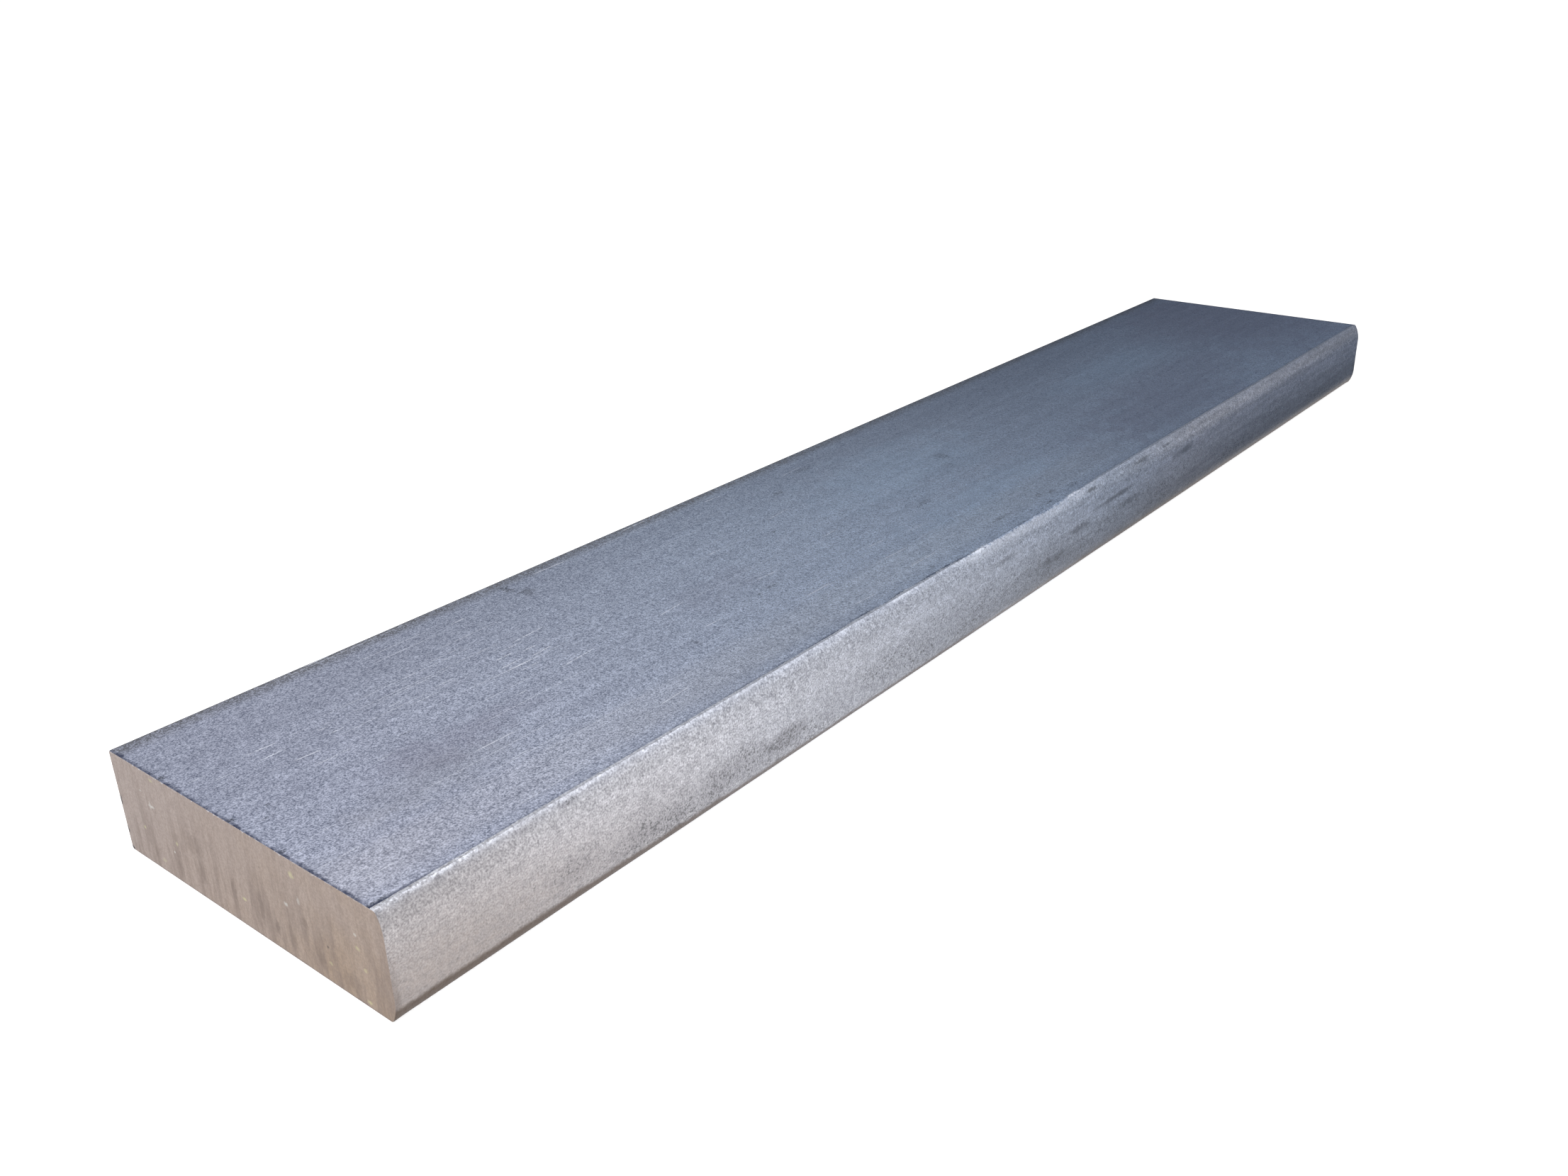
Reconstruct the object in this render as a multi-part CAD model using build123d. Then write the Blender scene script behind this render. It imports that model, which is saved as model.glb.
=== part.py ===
from build123d import *
import os

# Hot-rolled steel flat bar, slit along one long edge and sawn to length.
#
# All sizes are in millimetres. The bar lies flat on its underside: X runs along its length,
# Y across its width and Z up, and the origin is at the centre of the underside.
# Its rolled edge, with the soft corners that the rolls leave, faces -Y. Its slit edge, with
# crisp corners, faces +Y. The two sawn ends face -X and +X.

# Stock size
bar_width = 75.0
bar_thickness = 20.0
bar_length = 400.0

# Rolled edge: each corner is a quarter of an ellipse, deeper down the edge than it is wide
rolled_corner_across = 1.7
rolled_corner_depth = 3.0

# Slit edge: both corners are only just broken
slit_corner_break = 0.3

# Sawn ends: dressing the burr off leaves a small round along the outline of each end
end_dressing_radius = 0.25


def bar_section() -> Sketch:
    """Draw the bar's cross-section at its -X end, with the slit edge towards +Y."""
    rolled_edge = -bar_width / 2
    slit_edge = bar_width / 2
    corner_across = rolled_edge + rolled_corner_across
    upper_corner_foot = bar_thickness - rolled_corner_depth
    lower_corner_top = rolled_corner_depth
    with BuildSketch(Plane.YZ.offset(-bar_length / 2)) as section:
        with BuildLine():
            Polyline(
                (corner_across, 0),
                (slit_edge - slit_corner_break, 0),
                (slit_edge, slit_corner_break),
                (slit_edge, bar_thickness - slit_corner_break),
                (slit_edge - slit_corner_break, bar_thickness),
                (corner_across, bar_thickness),
            )
            EllipticalCenterArc(
                (corner_across, upper_corner_foot),
                rolled_corner_across,
                rolled_corner_depth,
                start_angle=90,
                arc_size=90,
            )
            Line((rolled_edge, upper_corner_foot), (rolled_edge, lower_corner_top))
            EllipticalCenterArc(
                (corner_across, lower_corner_top),
                rolled_corner_across,
                rolled_corner_depth,
                start_angle=180,
                arc_size=90,
            )
        make_face()
    return section.sketch


def flat_bar() -> Part:
    """Run the section from one sawn end to the other and dress the outline of both ends."""
    bar = extrude(bar_section(), amount=bar_length)
    faces_along_bar = bar.faces().sort_by(Axis.X)
    end_outlines = faces_along_bar[0].edges() + faces_along_bar[-1].edges()
    return fillet(end_outlines, radius=end_dressing_radius)


os.makedirs("parts", exist_ok=True)
export_step(flat_bar(), "parts/flat_bar.step")
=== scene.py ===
import logging
import math
from collections.abc import Callable
from dataclasses import dataclass
from enum import Enum
from functools import partial, reduce
from typing import Any, ClassVar

import bmesh
import bpy
from mathutils import Matrix, Vector


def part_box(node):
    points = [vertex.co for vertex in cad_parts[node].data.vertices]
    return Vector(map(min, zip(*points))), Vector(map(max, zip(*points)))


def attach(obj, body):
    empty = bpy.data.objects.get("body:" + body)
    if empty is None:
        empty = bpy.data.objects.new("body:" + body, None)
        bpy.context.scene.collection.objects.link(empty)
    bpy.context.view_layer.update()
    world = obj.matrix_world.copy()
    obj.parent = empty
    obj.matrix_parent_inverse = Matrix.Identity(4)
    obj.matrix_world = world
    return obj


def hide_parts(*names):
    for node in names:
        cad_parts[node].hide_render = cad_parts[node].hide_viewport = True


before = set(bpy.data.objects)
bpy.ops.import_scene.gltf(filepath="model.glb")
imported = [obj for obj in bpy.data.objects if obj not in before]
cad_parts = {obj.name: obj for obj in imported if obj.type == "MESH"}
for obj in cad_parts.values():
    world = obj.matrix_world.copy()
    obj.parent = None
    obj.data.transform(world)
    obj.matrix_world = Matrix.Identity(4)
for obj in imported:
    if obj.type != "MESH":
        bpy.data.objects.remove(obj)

LOG = logging.getLogger("flat_bar")
MM = 0.001
NODE = "flat_bar"
BODY = "root"
TOUCHING = 1e-6  # metres within which two places count as one
WIDE_BLOTCH = 8 * MM  # the reach past which a blotch's border follows the long waves

Colour = tuple[float, float, float]
Place = tuple[float, float, float]
Row = tuple[float, float, float, float, float, float]
Socket = bpy.types.NodeSocket
Sockets = tuple[Socket, ...]


class Side(Enum):
    """The kinds of surface on the bar, in the order of its material slots."""

    ROLLED_SKIN = 0
    SLIT_EDGE = 1
    SAWN_END = 2


class Face(Enum):
    """The faces that blotches lie on, by the axis that each faces along."""

    END = 0
    EDGE = 1
    TOP = 2


# ---------------------------------------------------------------- node sheets


class NodeSheet:
    """Lays out one shader node tree, a material's or a group's, in short calls."""

    def __init__(self, tree: bpy.types.NodeTree) -> None:
        """Start a sheet on an emptied tree."""
        self.tree = tree
        tree.nodes.clear()

    def feed(self, socket: Socket, value: Any) -> None:
        """Link a socket to another node's output, or set it to a constant.

        Args:
            socket: the input to fill.
            value: an output socket, or a number, vector or colour.
        """
        if isinstance(value, Socket):
            self.tree.links.new(value, socket)
        elif isinstance(value, tuple) and socket.type == "RGBA":
            socket.default_value = (*value[:3], 1.0)
        else:
            socket.default_value = value

    def add(self, kind: str, inputs: dict[Any, Any] | None = None, **settings: Any) -> bpy.types.Node:
        """Add a node.

        Args:
            kind: the node's type, such as "ShaderNodeMath".
            inputs: what goes into its sockets, by name or number.
            settings: its properties.

        Returns:
            The new node.
        """
        node = self.tree.nodes.new(kind)
        for name, value in settings.items():
            setattr(node, name, value)
        for key, value in (inputs or {}).items():
            self.feed(node.inputs[key], value)
        return node

    def math(self, operation: str, *terms: Any, clamp: bool = False) -> Socket:
        """Work out a number from one, two or three terms."""
        node = self.add("ShaderNodeMath", dict(enumerate(terms)), operation=operation, use_clamp=clamp)
        return node.outputs[0]

    def plus(self, *terms: Any) -> Socket:
        """Add up any number of terms."""
        return reduce(partial(self.math, "ADD"), terms)

    def minus(self, first: Any, second: Any) -> Socket:
        """Take the second term from the first."""
        return self.math("SUBTRACT", first, second)

    def times(self, *terms: Any) -> Socket:
        """Multiply any number of terms."""
        return reduce(partial(self.math, "MULTIPLY"), terms)

    def most(self, *terms: Any) -> Socket:
        """Take the greatest of any number of terms."""
        return reduce(partial(self.math, "MAXIMUM"), terms)

    def vector(self, operation: str, *terms: Any) -> Socket:
        """Work out a vector from one or two terms."""
        return self.add("ShaderNodeVectorMath", dict(enumerate(terms)), operation=operation).outputs[0]

    def joined(self, *parts: Any) -> Socket:
        """Join up to three numbers into a vector."""
        return self.add("ShaderNodeCombineXYZ", dict(enumerate(parts))).outputs[0]

    def axes(self, place: Any) -> Sockets:
        """Split a vector into its X, Y and Z."""
        return tuple(self.add("ShaderNodeSeparateXYZ", {0: place}).outputs)

    def stretched(self, place: Any, *lengths: Any) -> Socket:
        """Divide a place by three lengths, so that a pattern of size 1 gets those lengths."""
        return self.vector("DIVIDE", place, self.joined(*lengths))

    def remap(self, value: Any, low: Any, high: Any, to_low: Any = 0.0, to_high: Any = 1.0) -> Socket:
        """Turn the range low to high into to_low to to_high, with soft ends and nothing beyond."""
        inputs = dict(enumerate((value, low, high, to_low, to_high)))
        return self.add("ShaderNodeMapRange", inputs, interpolation_type="SMOOTHSTEP").outputs[0]

    def fade(self, value: Any, low: float, high: float, to_low: Any = 0.0, to_high: Any = 1.0) -> Socket:
        """Remap a length, with low and high in millimetres."""
        return self.remap(value, low * MM, high * MM, to_low, to_high)

    def around(self, value: Any, middle: float, near: float, far: float, *ends: float) -> Socket:
        """Fade with the distance from a middle, with middle, near and far in millimetres."""
        distance = self.math("ABSOLUTE", self.minus(value, middle * MM))
        return self.fade(distance, near, far, *(ends or (1.0, 0.0)))

    def noise(self, place: Any, scale: Any, detail: float, roughness: float = 0.5) -> Socket:
        """Sample soft noise around 0.5 at a place."""
        inputs = {"Vector": place, "Scale": scale, "Detail": detail, "Roughness": roughness}
        return self.add("ShaderNodeTexNoise", inputs).outputs[0]

    def lay(self, colour: Any, top: Any, *shares: Any, blend: str = "MIX") -> Socket:
        """Lay a colour over another, as far as the product of the shares."""
        inputs = {0: self.times(*shares), 6: colour, 7: top}
        return self.add("ShaderNodeMix", inputs, data_type="RGBA", blend_type=blend).outputs[2]

    def tone(self, colour: Any, by: Colour, *shares: Any) -> Socket:
        """Multiply a colour by another, as far as the product of the shares."""
        return self.lay(colour, by, *shares, blend="MULTIPLY")

    def effect(self, effect: "type[Effect]", **inputs: Any) -> Any:
        """Place a shared effect, fed by input name, and give its outputs."""
        return self.add("ShaderNodeGroup", inputs, node_tree=effect.group()).outputs


# ------------------------------------------------------------- shared effects


class Effect(NodeSheet):
    """A surface effect that several finishes share: the sheet of one node group, built once."""

    title: ClassVar[str]
    vectors: ClassVar[tuple[str, ...]] = ("Place",)
    numbers: ClassVar[tuple[str, ...]] = ()
    outputs: ClassVar[tuple[str, ...]] = ("Mask",)

    @classmethod
    def group(cls) -> bpy.types.NodeTree:
        """Return this effect's node group, building it the first time.

        Returns:
            The shader node group.
        """
        made = bpy.data.node_groups.get(cls.title)
        if made is not None:
            return made
        tree = bpy.data.node_groups.new(cls.title, "ShaderNodeTree")
        sockets = [(name, "INPUT", "Vector") for name in cls.vectors]
        sockets += [(name, "INPUT", "Float") for name in cls.numbers]
        sockets += [(name, "OUTPUT", "Float") for name in cls.outputs]
        for name, way, kind in sockets:
            tree.interface.new_socket(name, in_out=way, socket_type="NodeSocket" + kind)
        effect = cls(tree)
        results = effect.draw(effect.add("NodeGroupInput").outputs)
        effect.add("NodeGroupOutput", dict(zip(cls.outputs, results)))
        return tree

    def draw(self, given: Any) -> Sockets:
        """Lay out the group's nodes.

        Args:
            given: the group's inputs, by name.

        Returns:
            One socket for each output.
        """
        raise NotImplementedError


class BlastGrain(Effect):
    """The sugary grain that blasting leaves: fine light and dark specks on coarser ones."""

    title = "blast_grain"
    numbers = ("Grain", "Coarse", "Contrast")
    outputs = ("Tone", "Height")

    def draw(self, given: Any) -> Sockets:
        """Lay out the grain.

        Args:
            given: the group's inputs; Coarse is the share of the coarser specks.

        Returns:
            The tone around 0.5 and the height from 0 to 1.
        """
        fine = self.noise(given["Place"], self.math("DIVIDE", 1.0, given["Grain"]), 1.0, 0.6)
        coarse = self.noise(given["Place"], self.math("DIVIDE", 0.38, given["Grain"]), 2.0, 0.6)
        fine_part = self.times(fine, self.minus(1.0, given["Coarse"]))
        both = self.plus(fine_part, self.times(coarse, given["Coarse"]))
        spread = self.times(self.minus(both, 0.5), given["Contrast"])
        return self.math("ADD", spread, 0.5, clamp=True), self.remap(both, 0.3, 0.7)


class RollingMottle(Effect):
    """Soft patches drawn out along the rolling direction."""

    title = "rolling_mottle"
    numbers = ("Length", "Width", "Shift")

    def draw(self, given: Any) -> Sockets:
        """Lay out the patches.

        Args:
            given: the group's inputs; Shift gives another part of the same pattern.

        Returns:
            The mask, from 0 to 1.
        """
        place = self.stretched(given["Place"], given["Length"], given["Width"], given["Width"])
        shifted = self.vector("ADD", place, self.joined(0.0, 0.0, given["Shift"]))
        return (self.remap(self.noise(shifted, 1.0, 3.0, 0.55), 0.3, 0.7),)


class Scratches(Effect):
    """Short fine scratches, mostly along the bar, one to a cell and only in some cells."""

    title = "scratches"
    numbers = ("Length", "Spacing", "Width", "Slant", "Share")

    def draw(self, given: Any) -> Sockets:
        """Lay out the scratches.

        Args:
            given: the group's inputs; Share is the part of the cells that hold a scratch.

        Returns:
            The mask.
        """
        cell_length = self.times(given["Length"], 2.2)
        place = self.stretched(given["Place"], cell_length, given["Spacing"], given["Spacing"])
        cells = self.add("ShaderNodeTexVoronoi", {"Vector": place, "Scale": 1.0, "Randomness": 0.8}).outputs
        along, across, _ = self.axes(self.vector("SUBTRACT", place, cells["Position"]))
        chance, lean, size = self.axes(cells["Color"])
        run = self.times(along, cell_length)
        slant = self.times(self.minus(lean, 0.5), given["Slant"])
        aside = self.minus(self.times(across, given["Spacing"]), self.times(run, slant))
        thin = self.remap(self.math("ABSOLUTE", aside), 0.0, given["Width"], 1.0, 0.0)
        half = self.times(given["Length"], self.math("MULTIPLY_ADD", size, 0.4, 0.15))
        reach = self.remap(self.math("ABSOLUTE", run), self.times(half, 0.6), half, 1.0, 0.0)
        held = self.math("LESS_THAN", chance, given["Share"])
        broken = self.remap(self.noise(given["Place"], 1 / (0.9 * MM), 0.0), 0.28, 0.50, 0.25, 1.0)
        return (self.times(thin, reach, held, broken),)


class PitField(Effect):
    """Small round pits, thinly or thickly sown."""

    title = "pit_field"
    numbers = ("Spacing", "Radius", "Share")

    def draw(self, given: Any) -> Sockets:
        """Lay out the pits.

        Args:
            given: the group's inputs; Share is the part of the places that hold a pit.

        Returns:
            The mask.
        """
        scale = self.math("DIVIDE", 1.0, given["Spacing"])
        cells = self.add("ShaderNodeTexVoronoi", {"Vector": given["Place"], "Scale": scale}).outputs
        distance = self.times(cells["Distance"], given["Spacing"])
        chance, size, _ = self.axes(cells["Color"])
        radius = self.times(given["Radius"], self.math("MULTIPLY_ADD", size, 0.7, 0.5))
        pit = self.remap(distance, self.times(radius, 0.35), radius, 1.0, 0.0)
        return (self.times(pit, self.math("LESS_THAN", chance, given["Share"])),)


class EdgeWaves(Effect):
    """Long and short waves that make borders uneven, worked out once for a finish."""

    title = "edge_waves"
    outputs = ("Border", "Wide", "Fine")

    def draw(self, given: Any) -> Sockets:
        """Lay out the waves.

        Args:
            given: the group's inputs.

        Returns:
            The waves for the borders of bands, of wide patches and of fine ones, all around 0.
        """
        wide = self.minus(self.noise(given["Place"], 1 / (6 * MM), 4.0, 0.6), 0.5)
        fine = self.minus(self.noise(given["Place"], 1 / (0.9 * MM), 2.0, 0.6), 0.5)
        return self.plus(wide, fine), wide, fine


class RaggedBand(Effect):
    """A band that follows an edge, with an uneven border."""

    title = "ragged_band"
    vectors = ()
    numbers = ("Waves", "Distance", "Width", "Soft", "Ragged")

    def draw(self, given: Any) -> Sockets:
        """Lay out the band.

        Args:
            given: the group's inputs.

        Returns:
            The mask: 1 nearer than Width to the edge, 0 beyond Width and Soft.
        """
        distance = self.math("MULTIPLY_ADD", given["Waves"], given["Ragged"], given["Distance"])
        far = self.plus(given["Width"], given["Soft"])
        return (self.remap(distance, given["Width"], far, 1.0, 0.0),)


class LocalPatch(Effect):
    """One soft blotch at a place of its own, with a border made uneven by shared waves."""

    title = "local_patch"
    vectors = ("Place", "Centre", "Reach")
    numbers = ("Waves", "Ragged")

    def draw(self, given: Any) -> Sockets:
        """Lay out the blotch.

        Args:
            given: the group's inputs.

        Returns:
            The mask: 1 at the blotch's middle, 0 outside its reach.
        """
        offset = self.vector("SUBTRACT", given["Place"], given["Centre"])
        share = self.vector("DIVIDE", offset, given["Reach"])
        length = self.add("ShaderNodeVectorMath", {0: share}, operation="LENGTH").outputs["Value"]
        spread = self.math("MULTIPLY_ADD", given["Waves"], self.times(given["Ragged"], 3.0), length)
        return (self.remap(spread, 0.25, 1.0, 1.0, 0.0),)


class SawMarks(Effect):
    """Soft bands and fine lines that a bandsaw leaves, across the cut and leaning a little."""

    title = "saw_marks"
    vectors = ()
    numbers = ("Across", "Down", "Pitch", "Lean")
    outputs = ("Bands", "Lines")

    def draw(self, given: Any) -> Sockets:
        """Lay out the marks.

        Args:
            given: the group's inputs.

        Returns:
            The masks of the bands and of the lines, both from 0 to 1.
        """
        across = self.math("MULTIPLY_ADD", given["Down"], given["Lean"], given["Across"])
        wide = self.math("DIVIDE", across, given["Pitch"])
        tall = self.math("DIVIDE", given["Down"], 32 * MM)
        bands = self.remap(self.noise(self.joined(wide, tall), 1.6, 2.0, 0.55), 0.40, 0.64)
        thin = self.math("DIVIDE", across, 0.55 * MM)
        short = self.math("DIVIDE", given["Down"], 2.2 * MM)
        lines = self.remap(self.noise(self.joined(thin, short), 1.0, 2.0, 0.6), 0.3, 0.7)
        return bands, lines


# -------------------------------------------------------------------- finishes


@dataclass(frozen=True)
class BarSize:
    """The bar's sizes in metres, for patterns that follow its edges."""

    half_length: float
    half_width: float
    thickness: float
    corner_across: float


class FinishSheet(NodeSheet):
    """The sheet of one of the bar's materials, with the places that its patterns follow."""

    def __init__(self, title: str, size: BarSize) -> None:
        """Start the material.

        Args:
            title: its name.
            size: where the bar's edges are.
        """
        self.material = bpy.data.materials.new(title)
        self.material.use_nodes = True
        super().__init__(self.material.node_tree)
        self.size = size
        self.place = self.add("ShaderNodeTexCoord").outputs["Object"]
        self.along, self.across, self.up = self.axes(self.place)
        self.from_edge = self.math("ADD", self.across, size.half_width)
        self.from_slit = self.minus(size.half_width, self.across)
        self.from_top = self.minus(size.thickness, self.up)
        self.from_end = self.minus(size.half_length, self.math("ABSOLUTE", self.along))
        self.faces = (-size.half_length, -size.half_width, size.thickness)
        self.waves = self.pattern(EdgeWaves)

    def pattern(self, effect: type[Effect], **inputs: Any) -> Any:
        """Place a shared effect on the bar and give its outputs."""
        return self.effect(effect, Place=self.place, **inputs)

    def mottle(self, length: float, width: float, shift: float) -> Socket:
        """Give the mask of rolling patches of a length and width in millimetres."""
        return self.pattern(RollingMottle, Length=length * MM, Width=width * MM, Shift=shift)[0]

    def band(self, distance: Any, width: Any, soft: Any, ragged: Any) -> Socket:
        """Give the mask of a band along an edge: its width, how softly it ends and how far it wanders."""
        inputs = {"Distance": distance, "Width": width, "Soft": soft, "Ragged": ragged}
        return self.effect(RaggedBand, Waves=self.waves["Border"], **inputs)[0]

    def finish(self, results: dict, height: Any, strength: float, depth: float) -> bpy.types.Material:
        """Join the results to the material's shader.

        Args:
            results: the colour, metal and roughness, by the shader's own names.
            height: the fine relief.
            strength: how strongly the relief shows.
            depth: how deep the relief is.

        Returns:
            The material.
        """
        bump = self.add("ShaderNodeBump", {"Strength": strength, "Distance": depth, "Height": height})
        shader = self.add("ShaderNodeBsdfPrincipled", {**results, "Normal": bump.outputs[0]})
        self.add("ShaderNodeOutputMaterial", {"Surface": shader.outputs[0]})
        return self.material


@dataclass(frozen=True)
class Stain:
    """Blotches of one colour on one face.

    Each row holds a blotch's two places and two reaches on the face, its strength and how ragged it
    is. Lengths are in millimetres, and places count from the middle of the bar's underside.
    """

    face: Face
    colour: Colour
    deep: float
    rows: tuple[Row, ...]

    def mask(self, sheet: FinishSheet) -> Socket:
        """Give the mask of all the blotches together.

        Args:
            sheet: the material's sheet.

        Returns:
            The mask, as strong as each blotch.
        """
        axis = self.face.value
        patches = []
        for first, second, first_reach, second_reach, strength, ragged in self.rows:
            centre = [first * MM, second * MM]
            centre.insert(axis, sheet.faces[axis])
            reach = [first_reach * MM, second_reach * MM]
            reach.insert(axis, self.deep * MM)
            waves = sheet.waves["Wide" if max(reach[0], reach[2]) > WIDE_BLOTCH else "Fine"]
            patch = sheet.pattern(LocalPatch, Centre=centre, Reach=reach, Waves=waves, Ragged=ragged)[0]
            patches.append(sheet.times(patch, strength))
        return sheet.most(*patches)

    def lay(self, sheet: FinishSheet, colour: Socket, share: Any = 1.0) -> Socket:
        """Lay these blotches over a colour, as far as the share."""
        return sheet.lay(colour, self.colour, self.mask(sheet), share)


@dataclass(frozen=True)
class RolledSkin:
    """The blasted rolled skin of both broad faces and of the rolled edge.

    Its tones multiply the colour below them, and its other colours are laid over that.
    """

    # the broad faces' blue-grey and the rolled edge's paler, warmer grey are one skin; their difference is
    # partly painted light: reflected bluish sky on the broad faces, brighter warm light on the edge
    broad_dark: Colour = (0.155, 0.178, 0.250)
    broad_light: Colour = (0.650, 0.690, 0.850)
    edge_dark: Colour = (0.300, 0.302, 0.338)
    edge_light: Colour = (0.735, 0.740, 0.790)
    # colour of the painted warm reflected light on the rolled edge
    warm_reflected_light: Colour = (0.450, 0.385, 0.345)
    # pale colour of bare-steel scratches and of the painted highlight along the ridge
    bare_steel_and_highlight: Colour = (0.84, 0.87, 0.96)
    # dark blue of mill scale, also used for painted shade on the broad faces
    scale_blue_and_shade: Colour = (0.040, 0.050, 0.098)
    # near-black of soot, also used for painted shade on the rolled edge
    soot_and_shade: Colour = (0.110, 0.112, 0.120)
    # dark brown of painted shade at the rolled edge's foot and beside its sawn ends
    brown_shade: Colour = (0.095, 0.062, 0.042)
    # tone of the painted shade over the rounded corner
    arc_shade_tone: Colour = (0.80, 0.82, 0.86)
    broad_cool_light_tone: Colour = (0.98, 1.08, 1.10)
    broad_pale_tone: Colour = (1.04, 1.04, 1.03)
    broad_far_shade_tone: Colour = (0.81, 0.81, 0.82)
    lit_band_tone: Colour = (1.07, 1.05, 1.02)
    edge_end_tone: Colour = (0.80, 0.78, 0.76)
    edge_cool_light_tone: Colour = (0.95, 1.03, 1.12)
    edge_warm_tone: Colour = (1.03, 0.96, 0.91)
    underside_shade_tone: Colour = (0.45, 0.45, 0.47)
    metallic: float = 0.9
    broad_grain: float = 0.30 * MM
    edge_grain: float = 0.36 * MM
    grain_contrast: float = 2.8
    edge_contrast: float = 3.0
    bump_strength: float = 0.55
    bump_depth: float = 0.04 * MM
    strokes: tuple[tuple[float, ...], ...] = (  # length, spacing and width in millimetres, slant, share
        (9, 1.8, 0.19, 0.03, 0.5),
        (38, 4.2, 0.15, 0.02, 0.5),
        (12, 8, 0.16, 0.2, 0.25),
    )
    broad_tints: tuple[Stain, ...] = (
        Stain(Face.TOP, (0.25, 0.25, 0.27), 4, (
            (-172, -14, 22, 9, 0.20, 0.45), (-112, -30, 50, 7, 0.12, 0.5),
        )),
        Stain(Face.TOP, (0.92, 0.88, 0.92), 4, (
            (-193, -27, 19, 16, 0.08, 0.45),
        )),
        Stain(Face.TOP, (0.44, 0.66, 0.88), 4, (
            (-5, 8, 46, 20, 0.11, 0.5), (-5, -18, 40, 9, 0.10, 0.6), (110, 7, 50, 12, 0.09, 0.5),
        )),
        Stain(Face.TOP, (0.17, 0.16, 0.23), 4, (
            (84, -24, 60, 18, 0.30, 0.6), (110, -14, 70, 16, 0.26, 0.6), (190, 0, 70, 60, 0.42, 0.3),
            (-89, -3, 22, 8, 0.14, 0.6), (-164, -8, 24, 7, 0.27, 0.6),
        )),
    )
    broad_marks: Stain = Stain(Face.TOP, (0.065, 0.075, 0.105), 2, (
        (8.1, 4.8, 2.6, 3.4, 0.50, 0.5), (2.7, -0.6, 2.0, 2.6, 0.36, 0.5),
        (-37.7, 22.3, 2.4, 1.2, 0.60, 0.6), (-23.0, -10.2, 5.0, 1.2, 0.50, 0.7),
        (-2.7, -29.4, 1.4, 0.8, 0.70, 0.5), (1.2, -31.0, 1.6, 1.2, 0.70, 0.5),
        (8.5, -32.6, 3.0, 1.0, 0.50, 0.7), (-20.8, -30.0, 4.2, 0.9, 0.50, 0.7),
        (-5.4, -34.2, 2.4, 0.5, 0.75, 0.5), (-20.8, 27.9, 4.5, 1.5, 0.40, 0.7),
        (-57.7, 7.5, 0.9, 0.7, 0.60, 0.4), (-53.8, -32.9, 1.3, 0.9, 0.65, 0.5),
        (-85.9, -11.8, 0.6, 0.8, 0.90, 0.3), (-81.6, -11.2, 2.8, 0.8, 0.50, 0.8),
        (-110.4, -16.2, 0.8, 2.2, 0.50, 0.8), (-115.4, 33.0, 1.6, 2.6, 0.85, 0.8),
        (-113.5, 28.5, 2.2, 2.6, 0.70, 0.8), (-165.8, 1.0, 2.4, 0.3, 0.70, 0.3),
        (-193.2, 0.4, 0.6, 0.5, 1.00, 0.3), (-195.8, -2.8, 2.0, 0.5, 0.60, 0.7),
        (-198.6, -34.7, 4.0, 0.7, 1.00, 0.3), (-199.4, 21.6, 1.0, 0.9, 1.00, 0.3),
        (-199.4, 1.0, 1.0, 0.9, 0.90, 0.3), (-199.4, -13.0, 0.9, 0.8, 0.90, 0.3),
    ))
    cuts: Stain = Stain(Face.TOP, (0.80, 0.84, 0.93), 1, (
        (-184.0, 13.4, 3.4, 0.15, 0.95, 0.03), (-154.0, 14.0, 12.0, 0.13, 0.60, 0.0),
        (-160.5, 11.1, 2.2, 0.15, 0.85, 0.03), (-150.0, 10.4, 3.6, 0.14, 0.80, 0.03),
        (-156.0, 8.4, 4.6, 0.14, 0.80, 0.03), (-137.0, 4.4, 2.6, 0.15, 0.75, 0.03),
        (-173.5, -2.7, 2.2, 0.14, 0.75, 0.03), (-144.0, -4.2, 1.8, 0.15, 0.75, 0.03),
        (-158.5, -20.3, 4.0, 0.14, 0.70, 0.03), (-196.0, 16.6, 3.0, 0.13, 0.60, 0.03),
        (-193.0, 13.8, 2.6, 0.13, 0.60, 0.03),
    ))
    scratched: Stain = Stain(Face.TOP, (1.0, 1.0, 1.0), 4, (
        (-156, 8, 44, 12, 1.0, 0.4), (-158, -20, 12, 3, 0.8, 0.4), (-190, -22, 22, 16, 0.5, 0.4),
        (-50, -22, 50, 12, 0.35, 0.6),
    ))
    edge_dirt: Stain = Stain(Face.EDGE, (0.120, 0.115, 0.130), 4, (
        (-164, 7.0, 8, 4, 0.45, 0.7), (-148, 4.5, 14, 4, 0.48, 0.8), (-125, 6.0, 26, 5.5, 0.66, 0.8),
        (-111, 6.0, 10, 3.4, 1.00, 0.6), (-78, 3.7, 1.3, 0.9, 1.00, 0.4), (-73.5, 3.6, 0.9, 0.7, 0.80, 0.4),
        (-90, 15.0, 34, 4.5, 0.20, 0.9), (-163, 19.2, 4.0, 0.6, 0.85, 0.6), (-58, 10, 30, 9, 0.22, 0.9),
    ))
    edge_streaks: Stain = Stain(Face.EDGE, (0.110, 0.118, 0.135), 4, (
        (23.5, 13.2, 15, 0.9, 0.62, 0.5), (5.0, 10.8, 7, 1.2, 0.60, 0.6), (31.0, 9.6, 8, 1.3, 0.50, 0.7),
        (-8.0, 7.0, 9, 1.6, 0.45, 0.8), (63.0, 14.3, 9, 2.0, 0.55, 0.7), (11.0, 18.6, 4, 0.6, 0.70, 0.5),
        (38.0, 18.4, 6, 0.7, 0.65, 0.5), (52.5, 18.5, 4, 0.6, 0.60, 0.5), (50.0, 1.6, 42, 2.0, 0.50, 0.8),
        (-30.0, 14.6, 6, 1.0, 0.40, 0.8),
    ))
    # painted highlights: pale patches on the ridge where its laps catch the light
    lap_highlights: Stain = Stain(Face.TOP, (0.84, 0.87, 0.96), 0.8, (
        (-39.0, -36.2, 6.0, 1.2, 0.95, 0.4), (3.0, -36.2, 5.5, 1.1, 0.85, 0.4),
        (-70.0, -36.2, 6.0, 1.0, 0.50, 0.5),
    ))

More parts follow.
